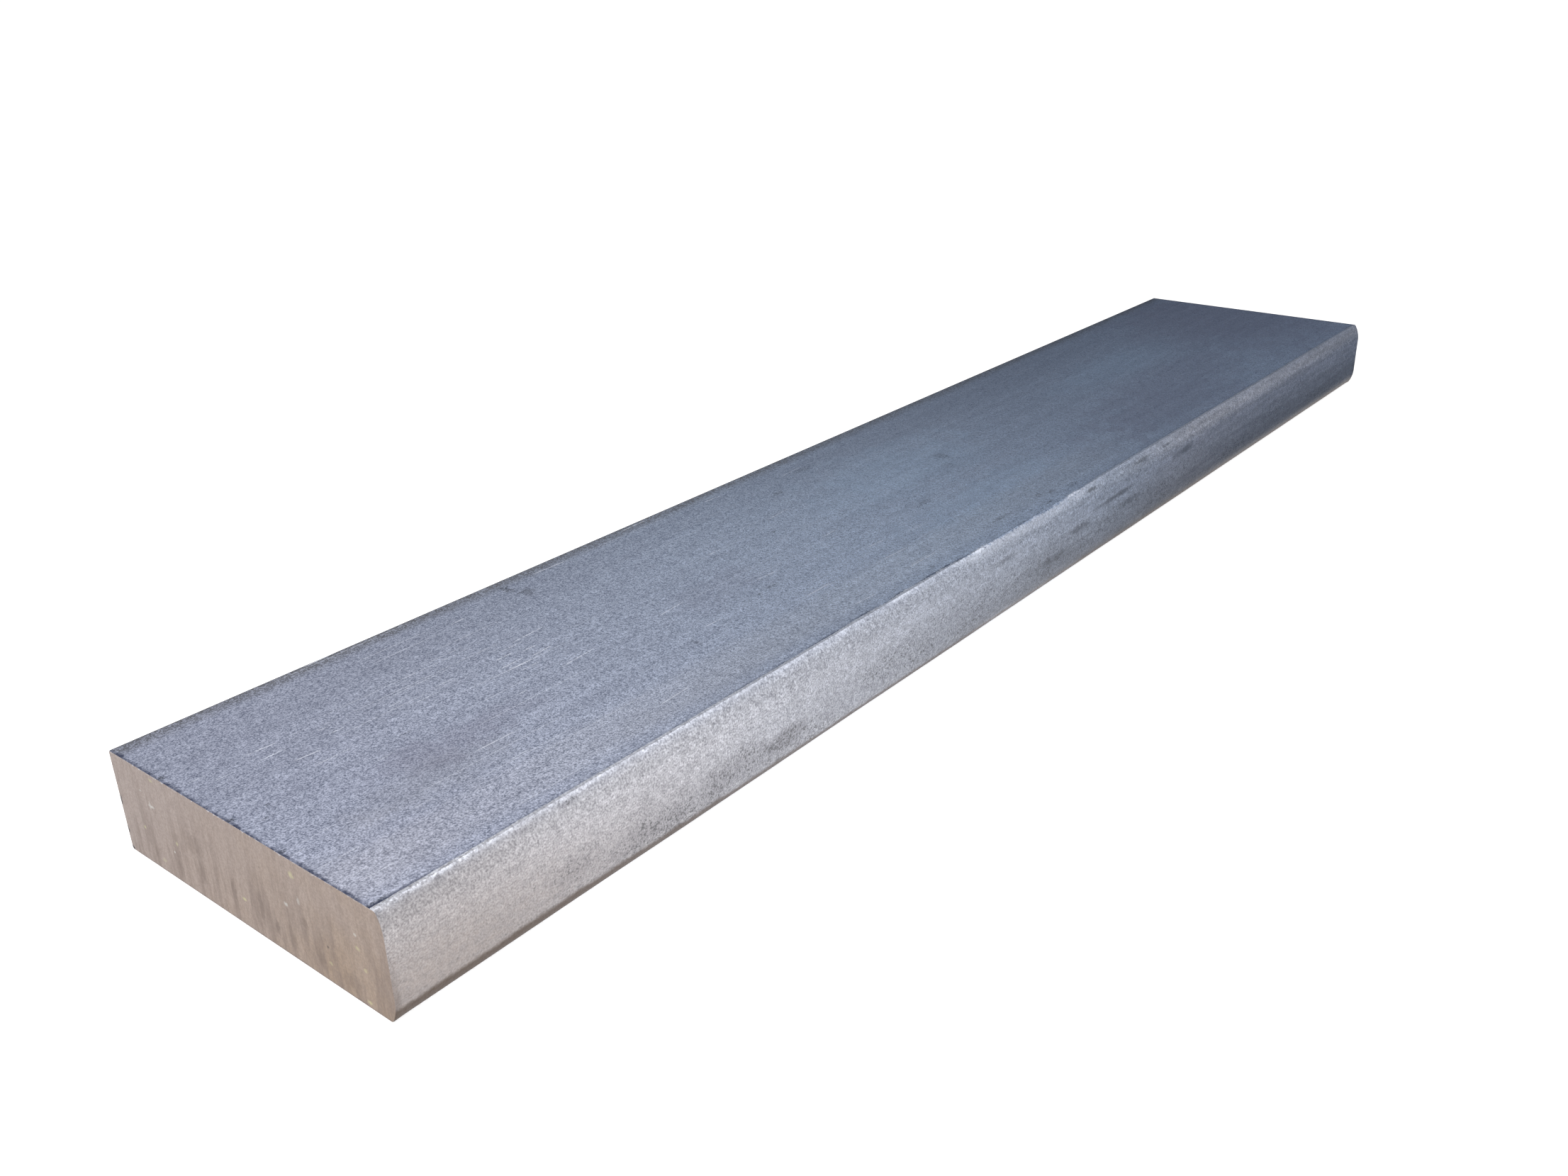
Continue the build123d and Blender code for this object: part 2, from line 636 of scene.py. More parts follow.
    def make(self, size: BarSize) -> bpy.types.Material:
        """Build the material.

        Args:
            size: where the bar's edges are.

        Returns:
            The rolled skin.
        """
        sheet = FinishSheet("rolled_skin", size)
        along = sheet.along
        broad_grain = {"Grain": self.broad_grain, "Coarse": 0.28, "Contrast": self.grain_contrast}
        edge_grain = {"Grain": self.edge_grain, "Coarse": 0.27, "Contrast": self.edge_contrast}
        tone, grain_height = sheet.pattern(BlastGrain, **broad_grain)
        edge_tone, _ = sheet.pattern(BlastGrain, **edge_grain)
        scratches = self.scratches(sheet)
        broad = self.broad_face(sheet, tone, scratches)
        edge, pits = self.rolled_edge(sheet, edge_tone)

        on_edge, shade_line, ridge = self.ridge(sheet)
        # painted shade: darker over the rounded corner, from 0.5 to 1.7 mm in from the edge
        edge = sheet.tone(edge, self.arc_shade_tone, sheet.fade(sheet.from_edge, 0.5, 1.7))
        # painted highlight: a speckled pale line along the ridge
        edge = sheet.lay(edge, self.bare_steel_and_highlight, ridge)
        # painted shade: a dark blue line on the broad face beside the ridge
        colour = sheet.lay(broad, self.scale_blue_and_shade, shade_line)
        colour = sheet.lay(colour, edge, on_edge)
        # painted highlights on the ridge's laps, specked by the grain
        colour = self.lap_highlights.lay(sheet, colour, sheet.remap(tone, 0.3, 0.6, 0.45, 1.0))
        # painted shade: a dark brown, less metallic band along the foot of the rolled edge, weaker along
        # the bar
        foot_shade = sheet.band(sheet.up, sheet.fade(along, -190, -90, 2.0 * MM, 1.0 * MM), 1.2 * MM, 0.8 * MM)
        beside = sheet.math("LESS_THAN", sheet.from_edge, 1.5 * MM)
        lower_corner_shade = sheet.times(foot_shade, beside, sheet.fade(along, -190, -100, 0.92, 0.70))

        polished = sheet.times(sheet.most(scratches, ridge), -0.10)
        results = {
            "Base Color": sheet.lay(colour, self.brown_shade, lower_corner_shade),
            "Metallic": sheet.math("MULTIPLY_ADD", lower_corner_shade, -0.75, self.metallic),
            "Roughness": sheet.plus(polished, sheet.remap(tone, 0.2, 0.8, 0.58, 0.46)),
        }
        height = sheet.plus(grain_height, sheet.times(pits, -1.0), sheet.times(scratches, -0.8))
        return sheet.finish(results, height, self.bump_strength, self.bump_depth)

    def scratches(self, sheet: FinishSheet) -> Socket:
        """Scratch the broad faces, thickly in some places and thinly elsewhere.

        Args:
            sheet: the material's sheet.

        Returns:
            The scratches' mask.
        """
        masks = []
        for length, spacing, width, slant, share in self.strokes:
            sizes = {"Length": length * MM, "Spacing": spacing * MM, "Width": width * MM}
            masks.append(sheet.pattern(Scratches, Slant=slant, Share=share, **sizes)[0])
        dashes, lines, strays = masks
        dashes = sheet.times(dashes, self.scratched.mask(sheet))
        strays = sheet.times(strays, sheet.fade(sheet.along, -60, 10, 1.0, 0.15))
        lines = sheet.times(lines, sheet.fade(sheet.along, -150, -60, 0.5, 0.22))
        return sheet.most(dashes, strays, lines)

    def ridge(self, sheet: FinishSheet) -> Sockets:
        """Draw the line where a broad face turns into the rolled edge, with painted shade beside it and a
        painted highlight on it.

        Args:
            sheet: the material's sheet.

        Returns:
            The masks of the edge's skin, of the painted shade line beside it and of the painted highlight
            along the ridge.
        """
        along, corner = sheet.along, sheet.size.corner_across
        turn = sheet.around(along, -18, 20, 36, corner - 0.25 * MM, corner + 0.60 * MM)
        wander = sheet.math("MULTIPLY_ADD", sheet.around(along, -35, 30, 65), 0.9 * MM, 0.35 * MM)
        on_edge = sheet.band(sheet.from_edge, turn, 0.12 * MM, wander)

        # painted shade: a dark line just inside the turn, full near the near end and in broken dashes
        # further along
        beside = sheet.band(sheet.from_edge, sheet.plus(turn, 0.15 * MM), 0.65 * MM, wander)
        near_end = sheet.fade(along, -199, -182, 1.0, 0.25)
        dashes = sheet.remap(sheet.mottle(6, 0.6, 4.0), 0.35, 0.75, 0.05, 1.0)
        broken = sheet.times(dashes, sheet.around(along, -62, 15, 75, 1.0, 0.35))
        shade_line = sheet.times(beside, sheet.most(near_end, broken), 0.85)

        # the painted highlight: just inside the turn, fading along the bar and broken into specks
        inner = sheet.fade(sheet.minus(turn, sheet.from_edge), 0.50, 1.20, 1.0, 0.0)
        faded = (sheet.fade(along, -165, -140, 0.72, 0.48), sheet.fade(along, -60, 45, 1.0, 0.50))
        broken_highlight = sheet.remap(sheet.mottle(16, 3, 6.0), 0.1, 0.8, 0.6, 1.0)
        shine = sheet.noise(sheet.place, 1 / (0.55 * MM), 2.0, 0.6)
        speckled = sheet.remap(shine, 0.40, 0.58, 0.25, 1.0)
        return on_edge, shade_line, sheet.times(on_edge, inner, *faded, broken_highlight, speckled)

    def broad_face(self, sheet: FinishSheet, tone: Socket, scratches: Socket) -> Socket:
        """Colour the broad faces: grain, painted light and shade, drawn-out patches, dark borders, marks
        and scratches.

        Args:
            sheet: the material's sheet.
            tone: the grain's tone.
            scratches: the scratches' mask.

        Returns:
            The colour.
        """
        along, across = sheet.along, sheet.across
        streaks = sheet.mottle(55, 2.4, 3.0)
        cloud = sheet.mottle(4, 2.5, 9.0)
        colour = sheet.lay(self.broad_dark, self.broad_light, tone)
        # painted light and shade along the broad faces: cooler and a little paler away from the near end,
        # and painted shade darkening towards the far end
        colour = sheet.tone(colour, self.broad_cool_light_tone, sheet.fade(along, -190, -20))
        colour = sheet.tone(colour, self.broad_pale_tone, sheet.fade(along, -190, -150))
        colour = sheet.tone(colour, self.broad_far_shade_tone, sheet.fade(along, -60, 80))
        # painted shade: darker towards the slit edge
        colour = sheet.lay(colour, self.scale_blue_and_shade, sheet.fade(across, -36, 34, 0.0, 0.22))
        outer = sheet.fade(across, 16, 30)
        colour = sheet.lay(colour, self.scale_blue_and_shade, outer, sheet.fade(along, -190, -140, 0.0, 0.14))
        # painted light: a paler band about 10 mm in from the rolled edge, fading out past the middle
        lit_band = sheet.around(across, -27, 3, 7)
        colour = sheet.tone(colour, self.lit_band_tone, lit_band, sheet.fade(along, 20, 60, 1.0, 0.0))
        for tint in self.broad_tints:
            colour = tint.lay(sheet, colour)
        for patches in (streaks, cloud):
            colour = sheet.lay(colour, self.scale_blue_and_shade, sheet.remap(patches, 0.0, 1.0, 0.10, 0.0))

        slit_shade = sheet.band(sheet.from_slit, 0.8 * MM, 4.0 * MM, 2.4 * MM)
        colour = sheet.lay(colour, self.soot_and_shade, slit_shade, sheet.remap(tone, 0.35, 0.70, 0.78, 0.34))
        colour = sheet.lay(colour, self.soot_and_shade, sheet.fade(sheet.from_slit, 0.25, 0.8, 0.55, 0.0))
        end_shade = sheet.band(sheet.from_end, 0.25 * MM, 0.65 * MM, 1.0 * MM)
        colour = sheet.lay(colour, self.scale_blue_and_shade, end_shade, sheet.remap(cloud, 0.1, 0.9, 0.95, 0.45))
        colour = self.broad_marks.lay(sheet, colour, sheet.remap(tone, 0.30, 0.75, 1.0, 0.45))
        pits = sheet.pattern(PitField, Spacing=5 * MM, Radius=0.30 * MM, Share=0.35)[0]
        colour = sheet.lay(colour, self.scale_blue_and_shade, pits, 0.6)
        colour = self.cuts.lay(sheet, colour, sheet.remap(tone, 0.25, 0.6, 0.55, 1.0))
        return sheet.lay(colour, self.bare_steel_and_highlight, scratches, 0.85)

    def rolled_edge(self, sheet: FinishSheet, tone: Socket) -> Sockets:
        """Colour the rolled edge: grain, painted warm light and shade, dark pits thicker lower down,
        blotches and streaks.

        Args:
            sheet: the material's sheet.
            tone: the grain's tone.

        Returns:
            The colour and the pits' mask.
        """
        along, from_top = sheet.along, sheet.from_top
        clouds = sheet.mottle(20, 6, 5.0)
        streaks = sheet.mottle(26, 1.5, 1.0)
        tints = sheet.mottle(1.3, 0.9, 7.0)
        colour = sheet.lay(self.edge_dark, self.edge_light, tone)
        colour = sheet.tone(colour, self.edge_end_tone, sheet.fade(along, -196, -155, 1.0, 0.0))
        colour = sheet.lay(colour, self.soot_and_shade, sheet.remap(tints, 0.1, 0.9, 0.20, 0.0))
        # painted cool light further along the bar, then a warmer tone past 20 mm
        colour = sheet.tone(colour, self.edge_cool_light_tone, sheet.fade(along, -170, 40))
        colour = sheet.tone(colour, self.edge_warm_tone, sheet.fade(along, 20, 75))
        # painted warm reflected light near the near end, stronger lower down, in patches
        near_end = sheet.fade(along, -200, -110, 0.50, 0.0)
        low = sheet.fade(from_top, 0, 16, 0.25, 1.15)
        colour = sheet.lay(colour, self.warm_reflected_light, near_end, low, sheet.math("MULTIPLY_ADD", tints, 0.35, 0.85))
        # painted shade: darker lower down and further along the bar
        shaded = sheet.fade(along, -120, 20, 0.26, 0.56)
        colour = sheet.lay(colour, self.soot_and_shade, sheet.fade(from_top, 4, 18), shaded)
        streaked = sheet.fade(along, -70, 10, 0.06, 0.22)
        colour = sheet.lay(colour, self.soot_and_shade, sheet.remap(streaks, 0.0, 1.0, 1.0, 0.0), streaked)

        dirt = self.edge_dirt.mask(sheet)
        low = sheet.fade(from_top, 3, 15, 0.12, 0.85)
        load = sheet.most(dirt, sheet.times(low, clouds, sheet.fade(along, -190, -150, 0.3, 1.0)))
        pitted = sheet.noise(sheet.place, 1 / (0.46 * MM), 1.5, 0.6)
        pits = sheet.remap(sheet.math("MULTIPLY_ADD", load, 0.15, pitted), 0.64, 0.75)
        pits = sheet.times(pits, sheet.remap(load, 0.0, 0.6, 0.25, 1.0))
        colour = sheet.lay(colour, self.edge_dirt.colour, dirt, 0.30)
        colour = self.edge_streaks.lay(sheet, colour)
        # painted shade: the bottom few millimetres of the rolled edge darker, from the middle on
        underside_shade = sheet.fade(from_top, 15.5, 18.5)
        colour = sheet.tone(colour, self.underside_shade_tone, underside_shade, sheet.fade(along, -90, 0, 0.0, 0.85))
        colour = sheet.lay(colour, self.soot_and_shade, pits, 0.70)
        # painted brown shade beside the sawn ends, stronger lower down
        end_shade = sheet.band(sheet.from_end, 0.2 * MM, 1.6 * MM, 0.8 * MM)
        return sheet.lay(colour, self.brown_shade, end_shade, sheet.fade(from_top, 4, 19, 0.04, 0.42)), pits


@dataclass(frozen=True)
class CutSteel:
    """Bare steel as a saw or a slitting cut leaves it."""

    title: str
    dark: Colour
    light: Colour
    streak: Colour
    tint: Colour
    pitch: float
    lean: float
    cut_along: bool
    banding: float
    # pale colour of the painted highlight along the cut face's top rim
    bare_steel_and_highlight: Colour = (0.80, 0.82, 0.90)
    metallic: float = 0.8
    grain: float = 0.40 * MM
    grain_contrast: float = 3.0
    bump_strength: float = 0.35
    bump_depth: float = 0.08 * MM
    chips: Stain = Stain(Face.END, (0.030, 0.027, 0.032), 1, (
        (37.3, 10.4, 0.8, 1.5, 1.0, 0.3), (37.4, 4.2, 0.7, 1.0, 0.8, 0.5), (37.2, 0.5, 0.9, 0.6, 1.0, 0.3),
        (-22.0, 7.0, 0.4, 0.4, 0.6, 0.3),
    ))
    pale_nicks: Stain = Stain(Face.END, (0.62, 0.64, 0.62), 1, (
        (26.3, 13.0, 1.5, 0.35, 0.52, 0.3), (26.6, 13.1, 0.3, 1.1, 0.45, 0.3),
        (-12.0, 10.4, 0.7, 0.5, 0.56, 0.4), (-15.8, 12.8, 0.5, 1.0, 0.3, 0.5),
        (-30.0, 13.0, 0.6, 0.4, 0.41, 0.4), (21.5, 5.9, 0.35, 0.3, 0.64, 0.2),
        (29.0, 15.2, 0.5, 0.25, 0.45, 0.3),
    ))
    green_nicks: Stain = Stain(Face.END, (0.60, 0.60, 0.33), 1, (
        (-15.2, 17.2, 0.8, 0.9, 0.44, 0.6), (0.7, 5.6, 0.7, 0.4, 0.54, 0.4),
        (20.0, 8.1, 0.5, 0.6, 0.41, 0.4), (30.5, 7.3, 0.5, 0.4, 0.41, 0.4),
        (24.2, 18.8, 0.9, 0.4, 0.34, 0.5), (-30.0, 10.6, 0.7, 0.6, 0.34, 0.5),
        (-31.3, 7.0, 0.8, 0.5, 0.31, 0.6), (-31.0, 1.1, 0.8, 0.6, 0.51, 0.4),
        (-22.0, 4.0, 0.6, 0.5, 0.34, 0.5), (26.0, 2.4, 0.9, 0.5, 0.2, 0.5),
    ))
    dark_bands: Stain = Stain(Face.END, (0.165, 0.125, 0.105), 2, (
        (-4.2, 6.0, 1.1, 4.6, 0.57, 0.35), (3.6, 6.0, 1.0, 3.4, 0.46, 0.4),
        (14.5, 10.5, 3.0, 3.2, 0.35, 0.5), (13.0, 5.0, 1.6, 3.0, 0.35, 0.5),
        (-8.2, 4.2, 1.0, 2.0, 0.59, 0.4), (-12.0, 3.6, 1.4, 2.4, 0.35, 0.4),
        (-16.6, 8.6, 0.9, 2.4, 0.49, 0.4), (-19.5, 3.4, 1.4, 2.6, 0.41, 0.5),
        (-27.0, 3.0, 3.0, 2.4, 0.41, 0.5), (27.5, 3.8, 1.4, 2.6, 0.32, 0.5),
        (20.5, 3.5, 1.0, 3.0, 0.3, 0.5), (-35.8, 12.0, 1.0, 7.0, 0.12, 0.5),
    ))

    def make(self, size: BarSize) -> bpy.types.Material:
        """Build the material.

        Args:
            size: where the bar's edges are.

        Returns:
            The cut steel, with its marks running through the bar's thickness.
        """
        sheet = FinishSheet(self.title, size)
        run = sheet.along if self.cut_along else sheet.across
        bands, lines = sheet.effect(SawMarks, Across=run, Down=sheet.up, Pitch=self.pitch, Lean=self.lean)
        grain = {"Grain": self.grain, "Coarse": 0.35, "Contrast": self.grain_contrast}
        tone, grain_height = sheet.pattern(BlastGrain, **grain)
        pits = sheet.pattern(PitField, Spacing=4 * MM, Radius=0.30 * MM, Share=0.4)[0]
        # painted warm reflected light: stronger low down and towards the rolled edge, in patches
        sunny = sheet.fade(sheet.across, -38, 36, 0.85, 0.10)
        upper = sheet.fade(sheet.up, 0, 20, 1.0, 0.55)
        patchy = sheet.math("MULTIPLY_ADD", sheet.mottle(15, 9, 2.0), 0.5, 0.65)
        colour = sheet.lay(self.light, self.tint, sunny, upper, patchy)
        lower = sheet.fade(sheet.up, 6, 18, 0.52 * self.banding, 0.14 * self.banding)
        colour = sheet.lay(colour, self.dark, bands, lower)
        colour = self.dark_bands.lay(sheet, colour)
        colour = sheet.lay(colour, self.streak, sheet.remap(lines, 0.0, 1.0, 0.06, 0.0))
        colour = sheet.lay(colour, self.streak, sheet.remap(tone, 0.2, 0.8, 0.26, 0.0))
        colour = sheet.lay(colour, self.streak, pits, 0.40)
        colour = self.green_nicks.lay(sheet, colour)
        colour = self.pale_nicks.lay(sheet, colour)
        # painted highlight: a broken pale line along the top rim of the cut face
        rim = sheet.band(sheet.from_top, 0.06 * MM, 0.2 * MM, 1.3 * MM)
        broken_highlight = sheet.remap(sheet.waves["Wide"], -0.08, 0.12, 0.10, 0.75)
        colour = sheet.lay(colour, self.bare_steel_and_highlight, rim, broken_highlight)
        # painted shade: a dark line along the foot of the cut face
        foot_shade = sheet.band(sheet.up, 0.15 * MM, 0.35 * MM, 0.6 * MM)
        colour = sheet.lay(colour, self.streak, foot_shade, 0.6)
        results = {
            "Base Color": self.chips.lay(sheet, colour),
            "Metallic": self.metallic,
            "Roughness": sheet.remap(lines, 0.0, 1.0, 0.58, 0.50),
        }
        relief = (sheet.times(lines, 0.15), sheet.times(grain_height, 0.30), sheet.times(pits, -0.5))
        return sheet.finish(results, sheet.plus(bands, *relief), self.bump_strength, self.bump_depth)


# ------------------------------------------------------------- modelling tools


def pick(obj: bpy.types.Object, kind: str, test: Callable[[Any], bool]) -> None:
    """Select some of a mesh in edit mode, and nothing else.

    Args:
        obj: the object in edit mode.
        kind: "VERT" or "EDGE".
        test: says whether an element is picked.
    """
    bpy.ops.mesh.select_mode(type=kind)
    bpy.ops.mesh.select_all(action="DESELECT")
    shape = bmesh.from_edit_mesh(obj.data)
    for element in {"VERT": shape.verts, "EDGE": shape.edges}[kind]:
        if test(element):
            element.select_set(True)
    bmesh.update_edit_mesh(obj.data)


def steps(start: float, stop: float, spacing: float) -> list[float]:
    """List even stations strictly between two ends, no further apart than the spacing."""
    count = max(1, math.ceil((stop - start) / spacing))
    return [start + (stop - start) * i / count for i in range(1, count)]


def ramp(distance: float, reach: float) -> float:
    """Rise from 0 to 1 over a reach."""
    return min(1.0, max(0.0, distance) / reach)


@dataclass(frozen=True)
class Relief:
    """Shallow unevenness pressed into part of a mesh, never standing proud of it."""

    title: str
    group: str
    depth: float
    size: float
    stretch: Place

    def press(self, obj: bpy.types.Object) -> None:
        """Press this relief into the vertices of its group.

        Args:
            obj: the mesh object.
        """
        texture = bpy.data.textures.new(self.title, "CLOUDS")
        texture.noise_scale = self.size
        guide = bpy.data.objects.new(self.title + "_guide", None)
        guide.scale = self.stretch
        bpy.context.scene.collection.objects.link(guide)
        bpy.context.view_layer.update()
        modifier = obj.modifiers.new(self.title, "DISPLACE")
        modifier.texture = texture
        modifier.texture_coords = "OBJECT"
        modifier.texture_coords_object = guide
        modifier.vertex_group = self.group
        modifier.mid_level = 1.0
        modifier.strength = self.depth
        bpy.context.view_layer.objects.active = obj
        bpy.ops.object.modifier_apply(modifier=modifier.name)
        bpy.data.objects.remove(guide)
        bpy.data.textures.remove(texture)


# ---------------------------------------------------------------------- the bar


@dataclass
class FlatBar:
    """The bar: two broad faces and one edge with rolled skin, one slit edge, two sawn ends."""

    low: Vector
    high: Vector
    corner_across: float = 1.7 * MM
    corner_depth: float = 4.4 * MM
    corner_profile: float = 0.43
    corner_segments: int = 10
    slit_break: float = 0.3 * MM
    end_round: float = 0.25 * MM
    end_segments: int = 2
    cells_along: tuple[int, int] = (100, 4)
    cell_across: float = 1.25 * MM
    cell_up: float = 1.0 * MM
    fine_cell: float = 0.5 * MM
    fine_reach: float = 3 * MM
    fade_reach: float = 2 * MM
    smooth_angle: float = math.radians(35)
    reliefs: tuple[Relief, ...] = (
        Relief("swell", "skin", 0.16 * MM, 11 * MM, (3.5, 1.0, 1.0)),
        Relief("peel", "skin", 0.015 * MM, 1.8 * MM, (1.6, 1.0, 1.0)),
        Relief("corner_laps", "corner", 0.28 * MM, 1.4 * MM, (5.0, 1.0, 1.0)),
        Relief("saw_wash", "ends", 0.10 * MM, 2.6 * MM, (1.0, 1.0, 7.0)),
    )
    skin: RolledSkin = RolledSkin()
    slit_edge: CutSteel = CutSteel(
        "slit_edge", dark=(0.16, 0.16, 0.17), light=(0.34, 0.34, 0.35), streak=(0.11, 0.11, 0.12),
        tint=(0.30, 0.28, 0.26), pitch=3 * MM, lean=0.1, cut_along=True, banding=0.25,
    )
    sawn_end: CutSteel = CutSteel(
        "sawn_end", dark=(0.200, 0.155, 0.135), light=(0.380, 0.323, 0.302), streak=(0.17, 0.135, 0.12),
        tint=(0.355, 0.272, 0.200), pitch=4 * MM, lean=0.03, cut_along=False, banding=1.0,
    )

    def build(self) -> bpy.types.Object:
        """Model the bar, press in its relief and dress it.

        Returns:
            The finished piece, in place.
        """
        bar = self.block()
        self.roll_corners(bar)
        self.break_corners(bar)
        self.divide(bar)
        bpy.ops.object.mode_set(mode="OBJECT")
        self.name_regions(bar)
        for relief in self.reliefs:
            relief.press(bar)
        self.dress(bar)
        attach(bar, BODY)
        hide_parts(NODE)
        return bar

    def block(self) -> bpy.types.Object:
        """Start with a block of the bar's full size.

        Returns:
            The block, in edit mode.
        """
        bpy.ops.object.select_all(action="DESELECT")
        middle = (self.low + self.high) / 2
        bpy.ops.mesh.primitive_cube_add(size=1.0, location=middle, scale=self.high - self.low)
        bpy.ops.object.transform_apply(location=True, rotation=True, scale=True)
        bar = bpy.context.active_object
        bar.name = "rolled_flat_bar"
        bpy.ops.object.mode_set(mode="EDIT")
        return bar

    def roll_corners(self, bar: bpy.types.Object) -> None:
        """Round the rolled edge's two corners, then squeeze them across to their ellipse.

        Args:
            bar: the block, in edit mode.
        """
        edge_y = self.low.y
        self.pick_corners(bar, edge_y)
        bpy.ops.mesh.bevel(
            offset=self.corner_depth,
            segments=self.corner_segments,
            profile=self.corner_profile,
            affect="EDGES",
            clamp_overlap=False,
        )
        pick(bar, "VERT", lambda v: v.co.y < edge_y + self.corner_depth + TOUCHING)
        squeeze = self.corner_across / self.corner_depth
        bpy.ops.transform.resize(value=(1.0, squeeze, 1.0), center_override=(0.0, edge_y, 0.0))

    def break_corners(self, bar: bpy.types.Object) -> None:
        """Break the slit edge's corners and round the outline of both sawn ends.

        Args:
            bar: the block, in edit mode.
        """
        self.pick_corners(bar, self.high.y)
        bpy.ops.mesh.bevel(offset=self.slit_break, offset_type="OFFSET", segments=1, affect="EDGES")
        end_x = self.high.x - TOUCHING
        pick(bar, "EDGE", lambda e: not self.runs_along(e) and all(abs(v.co.x) > end_x for v in e.verts))
        bpy.ops.mesh.bevel(
            offset=self.end_round, offset_type="OFFSET", segments=self.end_segments, affect="EDGES"
        )

    def divide(self, bar: bpy.types.Object) -> None:
        """Cut the faces into small cells, finer beside the rolled corners.

        Args:
            bar: the block, in edit mode.
        """
        inner = self.low.y + self.corner_across
        fine = inner + self.fine_reach
        coarse = steps(fine, self.high.y - self.slit_break, self.cell_across)
        for y in [*steps(inner, fine, self.fine_cell), fine, *coarse]:
            self.cut(Vector((0, y, 0)), Vector((0, 1, 0)))
        for z in steps(self.low.z, self.high.z, self.cell_up):
            self.cut(Vector((0, 0, z)), Vector((0, 0, 1)))
        body = self.high.x - self.end_round + TOUCHING
        for cells in self.cells_along:
            pick(bar, "EDGE", lambda e: self.runs_along(e) and all(abs(v.co.x) < body for v in e.verts))
            bpy.ops.mesh.subdivide(number_cuts=cells - 1)

    def cut(self, place: Vector, normal: Vector) -> None:
        """Cut the whole mesh through a plane."""
        bpy.ops.mesh.select_all(action="SELECT")
        bpy.ops.mesh.bisect(plane_co=place, plane_no=normal)

    def runs_along(self, edge: Any) -> bool:
        """Tell whether an edge runs along the bar."""
        span = edge.verts[1].co - edge.verts[0].co
        return abs(span.x) > 0.999 * span.length

    def pick_corners(self, bar: bpy.types.Object, y: float) -> None:
        """Select the edges that run along one side of the block."""
        pick(bar, "EDGE", lambda e: self.runs_along(e) and all(abs(v.co.y - y) < TOUCHING for v in e.verts))

    def name_regions(self, bar: bpy.types.Object) -> None:
        """Weight the vertices for the reliefs, fading where two surfaces meet.

        Args:
            bar: the divided bar, in object mode.
        """
        skin, corner, ends = (bar.vertex_groups.new(name=name) for name in ("skin", "corner", "ends"))
        middle_z = (self.low.z + self.high.z) / 2
        for vertex in bar.data.vertices:
            x, y, z = vertex.co
            from_end = self.high.x - abs(x)
            in_slit = ramp(self.high.y - y - self.slit_break, self.fade_reach)
            skin.add([vertex.index], ramp(from_end - self.end_round, self.fade_reach) * in_slit, "REPLACE")
            across = (y - self.low.y) / self.corner_across
            depth = (self.high.z - z) / self.corner_depth
            if across < 1.0 and depth < 1.0 and z > middle_z:
                corner.add([vertex.index], math.sqrt(max(0.0, math.sin(math.pi * across))), "REPLACE")
            if from_end < 10 * TOUCHING:
                ends.add([vertex.index], 1.0, "REPLACE")

    def dress(self, bar: bpy.types.Object) -> None:
        """Give each face its finish and smooth the shading.

        Args:
            bar: the modelled bar, in object mode.
        """
        size = BarSize(self.high.x, self.high.y, self.high.z - self.low.z, self.corner_across)
        for finish in (self.skin, self.slit_edge, self.sawn_end):
            bar.data.materials.append(finish.make(size))
        for face in bar.data.polygons:
            side = Side.ROLLED_SKIN
            if abs(face.normal.x) > 0.6:
                side = Side.SAWN_END
            elif face.center.y > self.high.y - self.slit_break and abs(face.normal.z) < 0.9:
                side = Side.SLIT_EDGE
            face.material_index = side.value
        bpy.ops.object.shade_smooth_by_angle(angle=self.smooth_angle)


# ------------------------------------------------------------------- the studio


def staged_plane(
    title: str, place: Place = (0.0, 0.0, 0.0), turn: Place = (0.0, 0.0, 0.0)
) -> tuple[bpy.types.Object, NodeSheet]:
    """Add a flat square, a metre wide, that belongs to the studio.

    Args:
        title: the name of the plane and of its material.
        place: where its middle is.
        turn: how it is turned, in degrees.

    Returns:
        The plane and the sheet of its material.
    """
    bpy.ops.object.select_all(action="DESELECT")
    rotation = tuple(math.radians(angle) for angle in turn)
    bpy.ops.mesh.primitive_plane_add(size=1.0, location=place, rotation=rotation)
    plane = bpy.context.active_object
    plane.name = title
    material = bpy.data.materials.new(title)
    material.use_nodes = True
    plane.data.materials.append(material)
    return plane, NodeSheet(material.node_tree)


@dataclass(frozen=True)
class Softbox:
    """A soft rectangular lamp."""

    title: str
    place: Place
    aim: Place
    size: tuple[float, float]
    power: float
    colour: Colour = (1.0, 1.0, 1.0)

    def hang(self) -> None:
        """Hang the lamp, facing its aim."""
        lamp = bpy.data.lights.new(self.title, "AREA")
        lamp.shape = "RECTANGLE"
        lamp.size, lamp.size_y = self.size
        lamp.energy = self.power
        lamp.color = self.colour
        obj = bpy.data.objects.new(self.title, lamp)
        obj.location = self.place
        obj.rotation_euler = (Vector(self.aim) - Vector(self.place)).to_track_quat("-Z", "Y").to_euler()
        bpy.context.scene.collection.objects.link(obj)


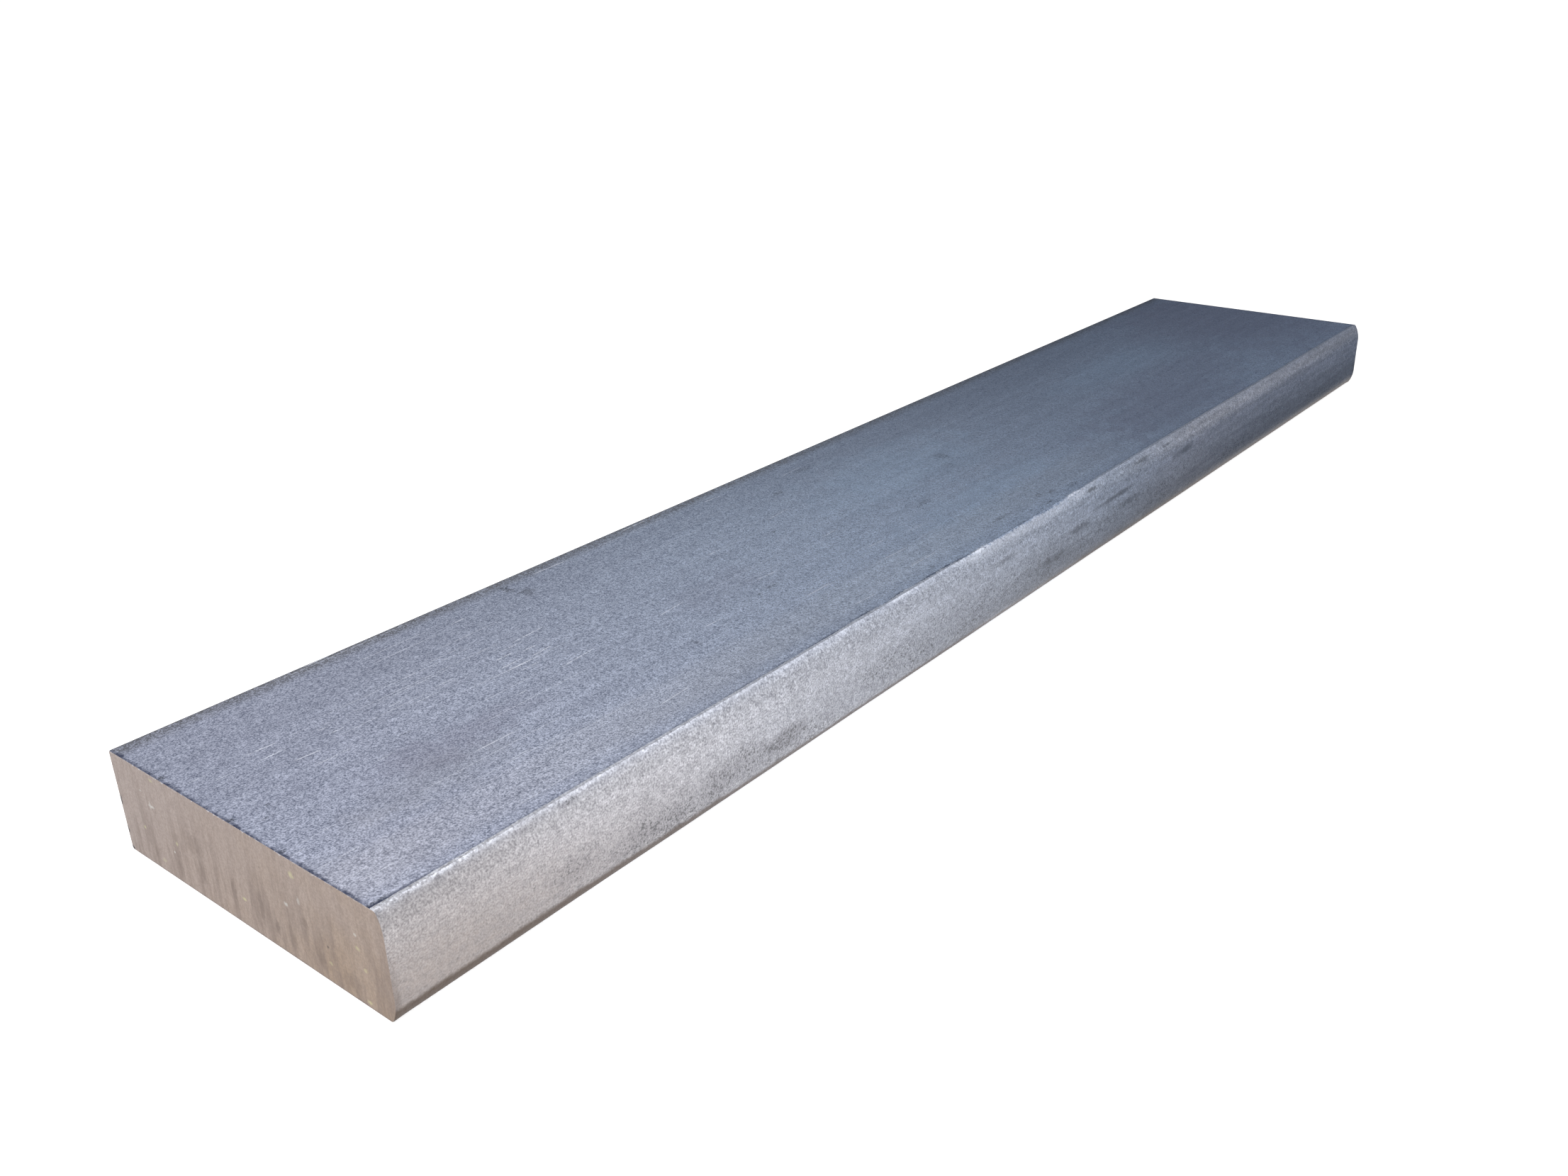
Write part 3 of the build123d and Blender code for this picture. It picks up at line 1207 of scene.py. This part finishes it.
@dataclass(frozen=True)
class DarkCard:
    """A dark card that only the bar's reflections see, so that it shades the far half.

    The card fades from clear to dark along one axis, so that no edge of it shows in the steel.
    """

    title: str
    place: Place
    turn: Place
    size: tuple[float, float]
    fade_axis: int
    clear_at: float
    dark_at: float
    colour: Colour

    def stand(self) -> None:
        """Set the card up beside the bar."""
        card, sheet = staged_plane(self.title, self.place, self.turn)
        card.scale = (*self.size, 1.0)
        where = sheet.axes(sheet.add("ShaderNodeNewGeometry").outputs["Position"])[self.fade_axis]
        if self.clear_at < self.dark_at:
            share = sheet.remap(where, self.clear_at, self.dark_at)
        else:
            share = sheet.remap(where, self.dark_at, self.clear_at, 1.0, 0.0)
        clear = sheet.add("ShaderNodeBsdfTransparent")
        dark = sheet.add("ShaderNodeBsdfDiffuse", {"Color": self.colour})
        both = sheet.add("ShaderNodeMixShader", {0: share, 1: clear.outputs[0], 2: dark.outputs[0]})
        sheet.add("ShaderNodeOutputMaterial", {"Surface": both.outputs[0]})
        for rays in ("camera", "diffuse", "transmission", "shadow"):
            setattr(card, "visible_" + rays, False)


@dataclass(frozen=True)
class Studio:
    """A plain pale studio: white floor, soft lamps, dark cards and the camera."""

    eye: Place = (-0.2893, -0.1855, 0.1420)
    gaze: Place = (0.70385, 0.57872, -0.41192)
    roll: float = math.radians(-1.55)
    lens: float = 32.74
    sensor: float = 36.0
    sight: tuple[float, float] = (0.01, 100.0)
    floor_size: float = 60.0
    floor_paint: Colour = (0.85, 0.85, 0.85)
    floor_glow: float = 0.66
    surround: float = 0.42
    lamps: tuple[Softbox, ...] = (
        Softbox("key", (0.23, -0.44, 0.38), (-0.10, 0.0, 0.0), (0.30, 0.30), 0.8),
        Softbox("fill", (-0.46, -0.16, 0.50), (-0.14, 0.0, 0.0), (0.40, 0.40), 1.9, (1.0, 0.95, 0.93)),
    )
    cards: tuple[DarkCard, ...] = (
        DarkCard(
            "far_card", place=(0.42, 0.275, 0.32), turn=(0.0, 90.0, 0.0), size=(0.64, 1.25),
            fade_axis=1, clear_at=0.90, dark_at=0.05, colour=(0.11, 0.17, 0.25),
        ),
        DarkCard(
            "side_card", place=(0.35, -0.33, 0.0006), turn=(0.0, 0.0, 0.0), size=(0.90, 0.583),
            fade_axis=0, clear_at=-0.13, dark_at=0.14, colour=(0.10, 0.17, 0.29),
        ),
    )

    def build(self) -> None:
        """Set up the whole studio."""
        self.lay_floor()
        self.light_surround()
        for lamp in self.lamps:
            lamp.hang()
        for card in self.cards:
            card.stand()
        self.place_camera()
        bpy.context.scene.view_settings.view_transform = "Standard"

    def seen_directly(self, sheet: NodeSheet) -> Socket:
        """Give 1 to what the camera, reflections and clear parts see, and 0 to what only lights."""
        rays = sheet.add("ShaderNodeLightPath").outputs
        return sheet.most(rays["Is Camera Ray"], rays["Is Glossy Ray"], rays["Is Transmission Ray"])

    def lay_floor(self) -> None:
        """Lay the white floor, which shows the bar's shadow."""
        floor, sheet = staged_plane("studio_floor")
        floor.scale = (self.floor_size, self.floor_size, 1.0)
        paint = sheet.add("ShaderNodeBsdfDiffuse", {"Color": self.floor_paint})
        strength = sheet.times(self.seen_directly(sheet), self.floor_glow)
        glow = sheet.add("ShaderNodeEmission", {"Color": (1.0, 1.0, 1.0), "Strength": strength})
        both = sheet.add("ShaderNodeAddShader", {0: paint.outputs[0], 1: glow.outputs[0]})
        sheet.add("ShaderNodeOutputMaterial", {"Surface": both.outputs[0]})

    def light_surround(self) -> None:
        """Surround the studio with even soft light that shows as white."""
        world = bpy.data.worlds.new("studio")
        bpy.context.scene.world = world
        world.use_nodes = True
        sheet = NodeSheet(world.node_tree)
        strength = sheet.remap(self.seen_directly(sheet), 0.0, 1.0, self.surround, 1.0)
        glow = sheet.add("ShaderNodeBackground", {"Color": (1.0, 1.0, 1.0), "Strength": strength})
        sheet.add("ShaderNodeOutputWorld", {"Surface": glow.outputs[0]})

    def place_camera(self) -> None:
        """Put up the camera with its roll."""
        camera = bpy.data.cameras.new("camera")
        camera.lens = self.lens
        camera.sensor_width = self.sensor
        camera.sensor_fit = "HORIZONTAL"
        camera.clip_start, camera.clip_end = self.sight
        obj = bpy.data.objects.new("camera", camera)
        upright = Vector(self.gaze).to_track_quat("-Z", "Y").to_matrix().to_4x4()
        obj.matrix_world = Matrix.Translation(self.eye) @ upright @ Matrix.Rotation(self.roll, 4, "Z")
        bpy.context.scene.collection.objects.link(obj)
        bpy.context.scene.camera = obj


def main() -> None:
    """Build the bar and its studio."""
    logging.basicConfig(level=logging.INFO, format="%(name)s: %(message)s")
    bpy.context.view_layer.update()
    bar = FlatBar(*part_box(NODE)).build()
    LOG.info("%s: %d faces", bar.name, len(bar.data.polygons))
    Studio().build()
    LOG.info("studio is set")


if __name__ == "__main__":
    main()
